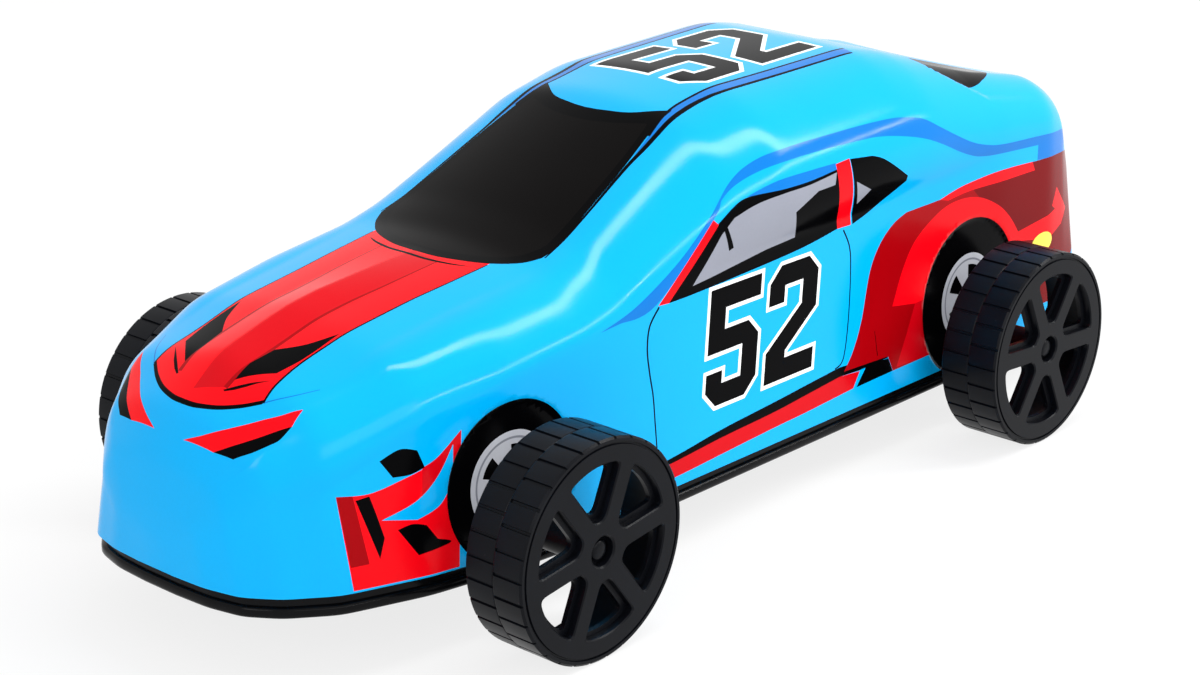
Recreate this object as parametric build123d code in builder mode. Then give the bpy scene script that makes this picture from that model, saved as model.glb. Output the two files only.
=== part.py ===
from build123d import *
from collections import namedtuple
from math import asin, copysign, cos, degrees, radians, sin
import os

# Toy racing car: a formed shell on a black tray, rolling on two steel axles.
# Millimetres. +X points to the nose, +Y to the car's left, Z = 0 is the floor under the wheels.

# Wheels, one moulding each
wheel_diameter = 60.0
wheel_width = 19.0
wheel_face_y = 82.0            # outer face of each wheel, from the car's middle plane
tread_wall = 2.4
web_thickness = 4.0
rim_inner_radius = 23.4
hub_outer_radius = 8.4
spoke_width = 5.2
spoke_count = 6
opening_corner = 1.2           # cut across each corner of a spoke opening
hub_sleeve_radius = 4.6
hub_recess_radius = 4.0
hub_recess_depth = 2.8
hub_floor = 0.8                # plastic between the recess and the axle's end

# Axles, their tubes and the caps in the hubs
wheelbase = 203.0
front_axle_x = 102.9
axle_diameter = 4.0
axle_running_gap = 0.08
tube_diameter = 8.0
tube_end_gap = 0.5
tube_fit_gap = 0.1
cap_radius = 2.8
cap_height = 1.8
front_spoke_angle = 52.5       # one spoke's angle above the nose direction, as the car stands
rear_spoke_angle = 4.0

# Shell: overall sizes, wall, lower edge with its rise to nose and tail, bonnet ridge, round wheel recesses
body_length = 357.4
body_width = 106.0
body_height = 100.7            # from the lower edge to the roof
shell_wall = 1.6
shoulder_steps = 4             # flats that make up each round shoulder
half_way_rise = 0.75           # share of the crown's rise that is reached half-way in
sill_below_axle = 10.0
nose_rise = 5.5
nose_rise_start_x = 80.0
tail_rise = 3.5
tail_rise_start_x = -95.0
ridge_rise = 2.0               # greatest height of the bonnet's ridge
ridge_skirt = 0.1              # how far its edges lie below the bonnet
arch_recess = 0.8
arch_above_axle = 10.0
front_arch_radius = 22.0
rear_arch_radius = 25.0

# Tray: a lip below the shell's edge, a rim inside the shell and a flat panel below
tray_lip_inset = 0.8
tray_lip_thickness = 3.0
tray_lip_gap = 3.0             # dark slot between the shell's edge and the lip
tray_rim_height = 4.0          # how far the rim stands up inside the shell
tray_rim_wall = 1.6
tray_fit_gap = 0.2
tray_floor = 1.8
floor_panel_length = 150.0
floor_panel_width = 70.0
floor_panel_depth = 0.8
floor_panel_corner = 8.0

# Cross-sections of the shell from nose to tail, in hundredths of the body's half-length, half-width and height.
# x: place along the car.  sill: half-width at the lower edge.
# belt, belt_z: half-width and height of the crease above the flank.
# edge, edge_z: half-width and height of the crease beside the bonnet, screen, roof and rear window.
# bulge: roundness of the shoulder between them, as a share.  crown: rise of the middle over the upper crease.
Section = namedtuple("Section", "x sill belt belt_z edge edge_z bulge crown")
shares = [
    Section(100.0, 11.3, 10.6, 11.9, 7.5, 15.3, 0.35, 0.6),
    Section(99.6, 33.0, 30.2, 14.4, 22.6, 19.9, 0.35, 1.9),
    Section(98.1, 52.8, 46.0, 20.9, 36.8, 30.8, 0.30, 4.3),
    Section(94.4, 67.9, 59.2, 25.3, 51.9, 38.5, 0.25, 7.3),
    Section(87.4, 83.0, 74.7, 30.8, 56.6, 49.3, 0.36, 5.5),
    Section(73.4, 94.3, 88.1, 41.2, 56.2, 57.9, 0.41, 3.4),
    Section(57.6, 99.1, 94.3, 47.7, 57.5, 62.2, 0.36, 3.1),
    Section(42.0, 100.0, 95.3, 51.1, 61.9, 65.7, 0.30, 3.0),
    Section(34.7, 100.0, 95.3, 53.1, 59.4, 70.0, 0.30, 3.5),
    Section(7.9, 100.0, 94.9, 57.6, 48.1, 93.6, 0.44, 2.5),
    Section(-3.9, 100.0, 94.9, 58.6, 47.2, 97.7, 0.51, 1.5),
    Section(-36.9, 100.0, 94.9, 60.6, 47.2, 99.5, 0.52, 0.5),
    Section(-44.2, 100.0, 94.9, 60.6, 49.1, 97.1, 0.53, 0.2),
    Section(-66.0, 100.0, 94.9, 61.6, 66.0, 85.7, 0.42, -2.4),
    Section(-82.3, 98.1, 92.5, 61.6, 66.0, 78.8, 0.42, -1.0),
    Section(-88.1, 95.3, 87.4, 58.6, 60.4, 74.1, 0.42, -0.4),
    Section(-93.7, 92.8, 80.4, 45.7, 45.3, 56.6, 0.45, 0.2),
    Section(-99.3, 75.5, 66.0, 23.8, 35.8, 29.8, 0.40, 0.2),
    Section(-100.0, 56.6, 50.9, 17.9, 30.2, 20.9, 0.40, 0.2),
]

# The bonnet's ridge: place and half-width in the same hundredths, and its height as a share of the greatest.
Ridge = namedtuple("Ridge", "x foot rise")
ridge_rows = [
    Ridge(48.0, 21.0, -0.2),
    Ridge(59.0, 19.4, 0.55),
    Ridge(67.7, 17.6, 1.0),
    Ridge(78.3, 18.2, 0.95),
    Ridge(85.6, 18.0, 0.7),
    Ridge(92.5, 17.0, -0.2),
]

# Sizes that follow from those above
wheel_radius = wheel_diameter / 2
axle_z = wheel_radius
axle_radius = axle_diameter / 2
rear_axle_x = front_axle_x - wheelbase
sill_z = axle_z - sill_below_axle
arch_centre_z = axle_z + arch_above_axle
half_length = body_length / 2
half_width = body_width / 2
wheel_back_y = wheel_face_y - wheel_width
web_back_y = wheel_face_y - web_thickness
recess_floor_y = wheel_face_y - hub_recess_depth
axle_end_y = recess_floor_y - hub_floor
tube_end_y = wheel_back_y - tube_end_gap
tube_bore_radius = axle_radius + axle_running_gap
tube_radius = tube_diameter / 2
nose_x = half_length
tail_x = -half_length
lip_high = -tray_lip_gap
lip_low = lip_high - tray_lip_thickness
rim_inset = shell_wall + tray_fit_gap
pocket_inset = rim_inset + tray_rim_wall
skirt_z = sill_z + 2 * lip_low  # below everything that the sections are cut to

os.makedirs("parts", exist_ok=True)


def finish(solid, name):
    solid.label = name
    export_step(solid, f"parts/{name}.step")


def sill_height(x):
    """Height of the shell's lower edge, which rises to the nose and to the tail."""
    towards_nose = (x - nose_rise_start_x) / (nose_x - nose_rise_start_x)
    towards_tail = (tail_rise_start_x - x) / (tail_rise_start_x - tail_x)
    return sill_z + nose_rise * max(0, towards_nose) + tail_rise * max(0, towards_tail)


def sized(share):
    """A row of the table of cross-sections in millimetres."""
    return Section(
        share.x / 100 * half_length,
        share.sill / 100 * half_width,
        share.belt / 100 * half_width,
        share.belt_z / 100 * body_height + sill_z,
        share.edge / 100 * half_width,
        share.edge_z / 100 * body_height + sill_z,
        share.bulge,
        share.crown / 100 * body_height,
    )


sections = [sized(share) for share in shares]


def flank_half(s, z):
    """Half-width of the flank at a height."""
    low_z = sill_height(s.x)
    return s.sill + (s.belt - s.sill) * (z - low_z) / (s.belt_z - low_z)


def shoulder_point(s):
    """Middle of the round shoulder between the belt and the top edge."""
    mid_y = (s.belt + s.edge) / 2
    mid_z = (s.belt_z + s.edge_z) / 2
    return (mid_y + s.bulge * (s.belt - mid_y), mid_z + s.bulge * (s.edge_z - mid_z))


def cross_plane(s, inset=0.0):
    """A plane across the car, moved towards its middle: x runs to the left and y runs up."""
    return Plane(origin=(s.x - copysign(inset, s.x), 0, 0), x_dir=(0, 1, 0), z_dir=(1, 0, 0))


def mirrored_polygon(plane, half):
    """A closed sketch from the points of its left half, from below to above."""
    other_half = [(-y, z) for y, z in reversed(half) if y > 0]
    with BuildSketch(plane) as section:
        with BuildLine():
            Polyline(*half, *other_half, close=True)
        make_face()
    return section.sketch


def outer_section(s, inset=0.0):
    """The outside of the shell, or that outside with both flanks moved in."""
    with BuildLine() as shoulder:
        ThreePointArc((s.belt, s.belt_z), shoulder_point(s), (s.edge, s.edge_z))
    flats = [shoulder.line @ (step / shoulder_steps) for step in range(shoulder_steps + 1)]
    half = [
        (flank_half(s, skirt_z), skirt_z),
        *((point.X, point.Y) for point in flats),
        (s.edge / 2, s.edge_z + half_way_rise * s.crown),
    ]
    moved_in = [(y - inset, z) for y, z in half]
    return mirrored_polygon(cross_plane(s), [*moved_in, (0, s.edge_z + s.crown)])


def hollow_section(s):
    """The inside of the shell, one wall in from the outside."""
    shoulder_y, shoulder_z = shoulder_point(s)
    half = [
        (flank_half(s, skirt_z) - shell_wall, skirt_z),
        (s.belt - shell_wall, s.belt_z),
        (shoulder_y - shell_wall, shoulder_z - shell_wall),
        (s.edge - shell_wall, s.edge_z - shell_wall),
        (0, s.edge_z + s.crown - shell_wall),
    ]
    return mirrored_polygon(cross_plane(s, shell_wall), half)


def top_height(x, y):
    """Height of the bonnet near its middle."""
    front, rear = next((a, b) for a, b in zip(sections, sections[1:]) if a.x >= x >= b.x)
    share = (x - rear.x) / (front.x - rear.x)

    def height(s):
        return s.edge_z + s.crown * (1 - (1 - half_way_rise) * y / (s.edge / 2))

    return height(rear) + share * (height(front) - height(rear))


def ridge_section(row):
    """A low gable across the bonnet, with its base inside the shell's wall."""
    x = row.x / 100 * half_length
    foot = row.foot / 100 * half_width
    eaves_z = top_height(x, foot) - ridge_skirt
    half = [
        (foot, eaves_z - shell_wall / 2),
        (foot, eaves_z),
        (0, top_height(x, 0) + row.rise * ridge_rise),
    ]
    return mirrored_polygon(Plane(origin=(x, 0, 0), x_dir=(0, 1, 0), z_dir=(1, 0, 0)), half)


def tray_section(s, inset):
    """A tall band across the car, inset from the flanks."""
    half = [(flank_half(s, skirt_z) - inset, skirt_z), (flank_half(s, axle_z) - inset, axle_z)]
    return mirrored_polygon(cross_plane(s, inset), half)


def above_sill(low, high):
    """The space between two heights above the shell's lower edge, as seen from the side."""
    places = [nose_x + wheel_radius, nose_rise_start_x, tail_rise_start_x, tail_x - wheel_radius]
    below = [(x, sill_height(x) + low) for x in places]
    above = [(x, sill_height(x) + high) for x in reversed(places)]
    with BuildSketch(Plane.XZ) as band:
        with BuildLine():
            Polyline(*below, *above, close=True)
        make_face()
    return band.sketch


# Round discs that stand out of the flanks by the depth of the wheel recesses.
with BuildPart() as arch_discs:
    with Locations((front_axle_x, 0, arch_centre_z)):
        Cylinder(front_arch_radius, 2 * wheel_face_y, rotation=(90, 0, 0))
    with Locations((rear_axle_x, 0, arch_centre_z)):
        Cylinder(rear_arch_radius, 2 * wheel_face_y, rotation=(90, 0, 0))
    loft([outer_section(s, arch_recess) for s in sections], ruled=True, mode=Mode.SUBTRACT)

# The shell: lofted outside, hollow inside, with a ridge on the bonnet, wheel recesses and axle holes.
with BuildPart() as body_shell:
    loft([outer_section(s) for s in sections], ruled=True)
    loft([ridge_section(row) for row in ridge_rows], ruled=True)
    loft([hollow_section(s) for s in sections], ruled=True, mode=Mode.SUBTRACT)
    extrude(above_sill(0, 2 * wheel_face_y), amount=wheel_face_y, both=True, mode=Mode.INTERSECT)
    add(arch_discs.part, mode=Mode.SUBTRACT)
    with Locations((front_axle_x, 0, axle_z), (rear_axle_x, 0, axle_z)):
        Cylinder(tube_radius + tube_fit_gap, 2 * wheel_face_y, rotation=(90, 0, 0), mode=Mode.SUBTRACT)
finish(body_shell.part, "body_shell")


def tray_layer(inset, low, high):
    """One layer of the tray: the plan of the shell's edge, inset, between two heights."""
    with BuildPart() as layer:
        loft([tray_section(s, inset) for s in sections], ruled=True)
        extrude(above_sill(low, high), amount=wheel_face_y, both=True, mode=Mode.INTERSECT)
    return layer.part


tray_lip = tray_layer(tray_lip_inset, lip_low, lip_high)
tray_rim = tray_layer(rim_inset, (lip_low + lip_high) / 2, tray_rim_height)
tray_pocket = tray_layer(pocket_inset, lip_low + tray_floor, 2 * tray_rim_height)
with BuildPart() as base_tray:
    add(tray_lip)
    add(tray_rim)
    add(tray_pocket, mode=Mode.SUBTRACT)
    with BuildSketch(Plane.XY.offset(sill_z + lip_low + floor_panel_depth)):
        RectangleRounded(floor_panel_length, floor_panel_width, floor_panel_corner)
    extrude(amount=-tray_lip_thickness, mode=Mode.SUBTRACT)
finish(base_tray.part, "base_tray")


def spoke_opening():
    """One opening between two spokes, with its middle on the sketch's x axis."""
    half_spoke = spoke_width / 2
    half_pitch = 180 / spoke_count

    def corner(radius, side):
        angle = radians(side * (half_pitch - degrees(asin(half_spoke / radius))))
        return (radius * cos(angle), radius * sin(angle))

    with BuildSketch() as opening:
        with BuildLine():
            Line(corner(hub_outer_radius, -1), corner(rim_inner_radius, -1))
            ThreePointArc(corner(rim_inner_radius, -1), (rim_inner_radius, 0), corner(rim_inner_radius, 1))
            Line(corner(rim_inner_radius, 1), corner(hub_outer_radius, 1))
            ThreePointArc(corner(hub_outer_radius, 1), (hub_outer_radius, 0), corner(hub_outer_radius, -1))
        make_face()
        chamfer(opening.vertices(), opening_corner)
    return opening.sketch


# One wheel about the Y axis: tread, web with spoke openings, hub sleeve and hub recess.
one_opening = spoke_opening()
with BuildPart() as wheel:
    with BuildSketch(Plane.XY):
        with BuildLine():
            Polyline(
                (axle_radius, wheel_back_y),
                (hub_sleeve_radius, wheel_back_y),
                (hub_sleeve_radius, web_back_y),
                (wheel_radius - tread_wall, web_back_y),
                (wheel_radius - tread_wall, wheel_back_y),
                (wheel_radius, wheel_back_y),
                (wheel_radius, wheel_face_y),
                (hub_recess_radius, wheel_face_y),
                (hub_recess_radius, recess_floor_y),
                (0, recess_floor_y),
                (0, axle_end_y),
                (axle_radius, axle_end_y),
                close=True,
            )
        make_face()
    revolve(axis=Axis.Y)
    with BuildSketch(Plane.XZ.offset(-wheel_face_y)):
        with PolarLocations(0, spoke_count, start_angle=180 / spoke_count):
            add(one_opening)
    extrude(amount=web_thickness, mode=Mode.SUBTRACT)

# The small cap on the axle's end, in the hub recess.
with BuildPart() as hub_cap:
    with BuildSketch(Plane.XZ.offset(-recess_floor_y)):
        Circle(cap_radius)
    extrude(amount=-cap_height)

# Each axle carries two wheels and turns in a tube that crosses the shell.
AxleSet = namedtuple("AxleSet", "name x spoke_angle")
axle_sets = [
    AxleSet("front", front_axle_x, front_spoke_angle),
    AxleSet("rear", rear_axle_x, rear_spoke_angle),
]
for axle_set in axle_sets:
    centre = Location((axle_set.x, 0, axle_z))
    turned = centre * Location((0, 0, 0), (0, -axle_set.spoke_angle, 0))
    with BuildPart() as axle:
        Cylinder(axle_radius, 2 * axle_end_y, rotation=(90, 0, 0))
    finish(axle.part.moved(centre), f"{axle_set.name}_axle")
    with BuildPart() as axle_tube:
        Cylinder(tube_radius, 2 * tube_end_y, rotation=(90, 0, 0))
        Cylinder(tube_bore_radius, 2 * tube_end_y, rotation=(90, 0, 0), mode=Mode.SUBTRACT)
    finish(axle_tube.part.moved(centre), f"{axle_set.name}_axle_tube")
    for piece, label in ((wheel.part, "wheel"), (hub_cap.part, "hub_cap")):
        finish(piece.moved(turned), f"{label}_{axle_set.name}_left")
        finish(piece.mirror(Plane.XZ).moved(turned), f"{label}_{axle_set.name}_right")
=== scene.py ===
# %% [markdown]
# # Dressing a toy racing car
# The car is a thin plastic sheet, formed over a mould and printed, on a black tray with four moulded wheels.
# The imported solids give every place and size. The lesson rebuilds the surfaces that the eye rests on: the
# shell with its livery, the tray's rolled lip, the wheels with their tread, and the finishes of all of them.

# %% Load the frame and keep its box
import math
import bmesh
import bpy
import numpy as np
from mathutils import Matrix, Vector
from mathutils.geometry import delaunay_2d_cdt


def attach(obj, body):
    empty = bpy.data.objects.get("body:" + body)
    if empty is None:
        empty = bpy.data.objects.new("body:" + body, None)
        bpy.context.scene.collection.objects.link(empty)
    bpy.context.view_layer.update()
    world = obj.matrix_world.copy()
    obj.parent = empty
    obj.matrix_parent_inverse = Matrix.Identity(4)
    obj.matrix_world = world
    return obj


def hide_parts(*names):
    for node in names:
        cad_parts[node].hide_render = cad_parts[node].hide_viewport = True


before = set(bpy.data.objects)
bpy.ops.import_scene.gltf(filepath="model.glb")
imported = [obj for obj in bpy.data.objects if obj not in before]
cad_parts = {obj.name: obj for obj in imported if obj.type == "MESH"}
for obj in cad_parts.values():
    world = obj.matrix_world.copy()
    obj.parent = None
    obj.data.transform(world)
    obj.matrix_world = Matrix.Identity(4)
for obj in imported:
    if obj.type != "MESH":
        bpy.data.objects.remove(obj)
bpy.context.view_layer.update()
MM = 0.001
print("nodes:", sorted(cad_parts))

# %% [markdown]
# Two helpers serve every material. Colours are written as they look on a screen, so one function turns
# them into the linear values that light is reckoned in. The other adds a node, sets it and links it in
# one call, which keeps a material readable from its coordinates to its shader.

# %% Colour and node helpers
def linear(hex_colour):
    """Linear red, green, blue and 1 for an sRGB hex colour."""
    parts = [int(hex_colour[i:i + 2], 16) / 255 for i in (1, 3, 5)]
    return tuple(c / 12.92 if c <= 0.04045 else ((c + 0.055) / 1.055) ** 2.4 for c in parts) + (1.0,)


def node(tree, kind, sockets=None, **settings):
    """Add a node, set its options, and set or link its inputs."""
    made = tree.nodes.new(kind)
    for name, value in settings.items():
        setattr(made, name, value)
    for name, value in (sockets or {}).items():
        if isinstance(value, bpy.types.NodeSocket):
            tree.links.new(value, made.inputs[name])
        else:
            made.inputs[name].default_value = value
    return made


def new_material(name):
    made = bpy.data.materials.new(name)
    made.use_nodes = True
    made.node_tree.nodes.clear()
    return made


def per_mm(size):
    """Texture scale for a pattern whose marks are this many millimetres apart."""
    return 1 / (size * MM)


print("sky blue in linear light:", [round(c, 3) for c in linear("#00A8EC")[:3]])

# %% [markdown]
# The shell is polystyrene sheet drawn over a mould by vacuum. Such a sheet is glossy, slightly wavy where
# it cooled, and carries a printed film. One material with masks could hold the whole print, but their
# edges would go soft close up. Each ink is therefore a material of its own, and all are the same film
# with another pigment: a faint cloudiness of the ink, a fine speckle, handling smears in the gloss, and
# the sheet's own waviness in the bump. The speckle is drawn coarser than real print grain, so that it can
# show.

# %% Printed inks on formed polystyrene
def printed_ink(name, pigment, cloud, roughness, specular):
    made = new_material(name)
    tree = made.node_tree
    place = node(tree, "ShaderNodeTexCoord").outputs["Object"]
    clouds = node(tree, "ShaderNodeTexNoise", {"Vector": place, "Scale": per_mm(35), "Detail": 3.0})
    speckle = node(tree, "ShaderNodeTexNoise", {"Vector": place, "Scale": per_mm(0.8), "Detail": 1.0})
    smears = node(tree, "ShaderNodeTexNoise", {"Vector": place, "Scale": per_mm(18), "Detail": 4.0})
    waves = node(tree, "ShaderNodeTexNoise", {"Vector": place, "Scale": per_mm(14), "Detail": 1.0})
    toned = node(tree, "ShaderNodeMixRGB", {
        "Fac": clouds.outputs["Fac"], "Color1": linear(pigment), "Color2": linear(cloud)})
    grained = node(tree, "ShaderNodeHueSaturation", {
        "Color": toned.outputs["Color"],
        "Value": node(tree, "ShaderNodeMapRange", {
            "Value": speckle.outputs["Fac"], "To Min": 0.975, "To Max": 1.025}).outputs["Result"]})
    gloss = node(tree, "ShaderNodeMapRange", {
        "Value": smears.outputs["Fac"], "From Min": 0.3, "From Max": 0.7,
        "To Min": roughness * 0.75, "To Max": roughness * 1.4})
    peel = node(tree, "ShaderNodeBump", {
        "Height": waves.outputs["Fac"], "Strength": 0.05, "Distance": 0.15 * MM})
    film = node(tree, "ShaderNodeBsdfPrincipled", {
        "Base Color": grained.outputs["Color"], "Roughness": gloss.outputs["Result"], "IOR": 1.52,
        "Specular IOR Level": specular, "Normal": peel.outputs["Normal"]})
    node(tree, "ShaderNodeOutputMaterial", {"Surface": film.outputs["BSDF"]})
    return made


INKS = {
    "sky": printed_ink("polystyrene_sky_blue_print", "#00A8EC", "#00AEF2", 0.12, 0.13),
    "azure": printed_ink("polystyrene_azure_print", "#0070C6", "#0076CC", 0.12, 0.13),
    "red": printed_ink("polystyrene_signal_red_print", "#F40212", "#F80616", 0.16, 0.08),
    # crimson is print on the sill and the wings, and painted shade on the bonnet's left bevel
    "crimson": printed_ink("polystyrene_crimson_print_and_painted_shade", "#C80010", "#D20414", 0.16, 0.08),
    "wine": printed_ink("polystyrene_dark_red_print", "#960006", "#A4020C", 0.16, 0.06),
    "maroon": printed_ink("polystyrene_maroon_print", "#6E0003", "#7A0208", 0.16, 0.06),
    "black": printed_ink("polystyrene_black_print", "#020203", "#040405", 0.14, 0.03),
    "smoke": printed_ink("polystyrene_smoked_glass_print", "#080707", "#0C0A0A", 0.12, 0.03),
    "grey": printed_ink("polystyrene_grey_print", "#888B96", "#9093A0", 0.18, 0.25),
    "white": printed_ink("polystyrene_white_print", "#F2F4F6", "#FFFFFF", 0.16, 0.3),
    "silver": printed_ink("polystyrene_silver_print", "#C4C7D2", "#DADDE4", 0.2, 0.45),
    "yellow": printed_ink("polystyrene_lamp_yellow_print", "#F2E040", "#F8EA60", 0.16, 0.3),
}
print("inks:", list(INKS))

# %% [markdown]
# The shell could be modelled by hand as a subdivided cage, but a sheet this smooth is easier to steer
# from numbers. A short table gives nineteen cross-sections, the same as the solid's. The rows are spread
# evenly along the car and blurred a little, so that the reflections run without a kink from bonnet to
# tail.

# %% Sections of the shell
# x, half-width at the sill, half-width and height of the belt crease, half-width and height of the top edge,
# roundness of the shoulder, rise of the middle; all in millimetres from nose to tail
SECTIONS = np.array([
    (178.7, 6.0, 5.6, 32.0, 4.0, 35.4, 0.35, 0.6),
    (178.0, 17.5, 16.0, 34.5, 12.0, 40.0, 0.35, 1.9),
    (175.3, 28.0, 24.4, 41.0, 19.5, 51.0, 0.30, 4.3),
    (168.7, 36.0, 31.4, 45.5, 27.5, 58.8, 0.25, 7.4),
    (156.2, 44.0, 39.6, 51.0, 30.0, 69.6, 0.36, 5.5),
    (131.2, 50.0, 46.7, 61.5, 29.8, 78.3, 0.41, 3.4),
    (103.0, 52.5, 50.0, 68.0, 30.5, 82.6, 0.36, 3.1),
    (75.0, 53.0, 50.5, 71.5, 32.8, 86.2, 0.30, 3.0),
    (62.0, 53.0, 50.5, 73.5, 31.5, 90.5, 0.30, 3.5),
    (14.2, 53.0, 50.3, 78.0, 25.5, 114.3, 0.44, 2.5),
    (-7.0, 53.0, 50.3, 79.0, 25.0, 118.4, 0.51, 1.5),
    (-66.0, 53.0, 50.3, 81.0, 25.0, 120.2, 0.52, 0.5),
    (-79.0, 53.0, 50.3, 81.0, 26.0, 117.8, 0.53, 0.2),
    (-118.0, 53.0, 50.3, 82.0, 35.0, 106.3, 0.42, -2.4),
    (-147.0, 52.0, 49.0, 82.0, 35.0, 99.4, 0.42, -1.0),
    (-157.5, 50.5, 46.3, 79.0, 32.0, 94.6, 0.42, -0.4),
    (-167.5, 49.2, 42.6, 66.0, 24.0, 77.0, 0.45, 0.2),
    (-177.5, 40.0, 35.0, 44.0, 19.0, 50.0, 0.40, 0.2),
    (-178.7, 30.0, 27.0, 38.0, 16.0, 41.0, 0.40, 0.2),
])
HALF_LENGTH, HALF_WIDTH = 178.7, 53.0
SILL_Z, NOSE_RISE, NOSE_RISE_X, TAIL_RISE, TAIL_RISE_X = 20.0, 5.5, 80.0, 3.5, -95.0
ROW_STEP, ROW_BLUR = 0.75, 3.0
FLANK, SHOULDER, TOP = 64, 56, 36  # points of each half section


def blurred(rows, sigma):
    """Rows smoothed along their first axis, with both ends held."""
    reach = int(3 * sigma) + 1
    weights = np.exp(-0.5 * (np.arange(-reach, reach + 1) / sigma) ** 2)
    weights /= weights.sum()
    head = 2 * rows[0] - rows[reach:0:-1]
    tail = 2 * rows[-1] - rows[-2:-reach - 2:-1]
    padded = np.concatenate([head, rows, tail])
    return sum(w * padded[i:i + len(rows)] for i, w in enumerate(weights))


def spread_along(table, step, sigma):
    """The table's rows at even steps from nose to tail, blurred."""
    gaps = np.linalg.norm(np.diff(table[:, :6], axis=0), axis=1)
    chord = np.concatenate([[0], np.cumsum(gaps)])
    places = np.linspace(0, chord[-1], int(chord[-1] / step) + 1)
    return blurred(np.stack([np.interp(places, chord, column) for column in table.T], 1), sigma / step)


def sill_height(x):
    """Height of the lower edge, which rises to the nose and to the tail."""
    to_nose = np.maximum(0, (x - NOSE_RISE_X) / (HALF_LENGTH - NOSE_RISE_X))
    to_tail = np.maximum(0, (TAIL_RISE_X - x) / (HALF_LENGTH + TAIL_RISE_X))
    return SILL_Z + NOSE_RISE * to_nose + TAIL_RISE * to_tail


rows = spread_along(SECTIONS, ROW_STEP, ROW_BLUR)
print("rows along the car:", len(rows))

# %% [markdown]
# Each section is a straight flank, a round shoulder and a slightly crowned top. The creases between them
# are real folds with a radius of one or two millimetres. A bevel modifier could round them, but it would
# cut through the prints that come later, so a short blur along the section does it.

# %% One half section, then the whole skin
def half_section(row):
    """The left half of one section, from the sill over the shoulder to the middle."""
    x, sill, belt, belt_z, edge, edge_z, bulge, crown = row
    low = np.array([sill, sill_height(x)])
    belt_at = np.array([belt, belt_z])
    edge_at = np.array([edge, edge_z])
    middle = (belt_at + edge_at) / 2
    middle += bulge * np.array([belt - middle[0], edge_z - middle[1]])
    sides = np.array([belt_at - middle, edge_at - middle])
    centre = middle + np.linalg.solve(2 * sides, (sides ** 2).sum(1))
    turns = [math.atan2(*(p - centre)[::-1]) for p in (belt_at, edge_at)]
    radius = np.linalg.norm(belt_at - centre)
    flank = low + (belt_at - low) * np.linspace(0, 1, FLANK, endpoint=False)[:, None]
    sweep = np.linspace(turns[0], turns[1], SHOULDER, endpoint=False)
    shoulder = centre + radius * np.stack([np.cos(sweep), np.sin(sweep)], 1)
    out = np.linspace(1, 0, TOP)
    top = np.stack([edge * out, edge_z + crown * (1 - out ** 2)], 1)
    return np.concatenate([flank, shoulder, top])


def round_creases(points, sigma, step=0.25):
    """The half section blurred along its own line, together with its mirror image."""
    lengths = np.concatenate([[0], np.cumsum(np.linalg.norm(np.diff(points, axis=0), axis=1))])
    even = np.linspace(0, lengths[-1], int(lengths[-1] / step) + 2)
    half = np.stack([np.interp(even, lengths, points[:, k]) for k in (0, 1)], 1)
    soft = blurred(np.concatenate([half, half[-2::-1] * [-1, 1]]), sigma / step)[:len(half)]
    return np.stack([np.interp(lengths, even, soft[:, k]) for k in (0, 1)], 1)


CREASE_BLUR = 0.8
halves = np.array([round_creases(half_section(row), CREASE_BLUR) for row in rows])
left = np.concatenate([np.repeat(rows[:, :1, None], halves.shape[1], 1), halves], 2)
skin = np.concatenate([left, left[:, -2::-1] * [1, -1, 1]], 1)
LAST_U, LAST_V = skin.shape[0] - 1, skin.shape[1] - 1
print("skin points:", skin.shape[0] * skin.shape[1])

# %% [markdown]
# Reliefs lie on that skin: the bonnet's spine with its bevelled sides, the round wheel recesses in the
# flanks and the sunk rear window. They could be sculpted, but as functions of the place the same code
# gives the surface and, by small steps to each side, its normals.

# %% The skin as a function, with its reliefs
ARCHES = [(102.9, 40.0, 22.0), (-100.1, 40.0, 25.0)]
ARCH_DEPTH, ARCH_WALL = 0.8, 1.0
RIDGE_X = [86, 105, 121, 140, 153, 164]
RIDGE_FOOT = [11.0, 10.0, 9.2, 9.4, 9.4, 9.0]
RIDGE_RISE = [0.0, 1.1, 2.0, 1.9, 1.4, 0.0]
PANE_X = [-114, -108, -102, -97, -93, -89]
PANE_Y = [46.6, 44.5, 42.0, 38.9, 34.0, 24.0]
PANE_DEPTH, PANE_WALL = 1.0, 1.6
PANE_FRONT, PANE_FRONT_FADE, PANE_REAR, PANE_REAR_FADE = -88.0, 3.0, -150.0, 40.0
FLANK_Y = 40.0  # the flanks lie farther out than this beside the wheels
ABOVE = 4  # points above the belt crease at which the reliefs of the top begin


def sample(u, v):
    """Places on the plain skin, between its points."""
    u, v = np.clip(u, 0, LAST_U), np.clip(v, 0, LAST_V)
    i, j = np.minimum(u.astype(int), LAST_U - 1), np.minimum(v.astype(int), LAST_V - 1)
    a, b = (u - i)[:, None], (v - j)[:, None]
    return ((1 - a) * (1 - b) * skin[i, j] + a * (1 - b) * skin[i + 1, j]
            + (1 - a) * b * skin[i, j + 1] + a * b * skin[i + 1, j + 1])


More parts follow.
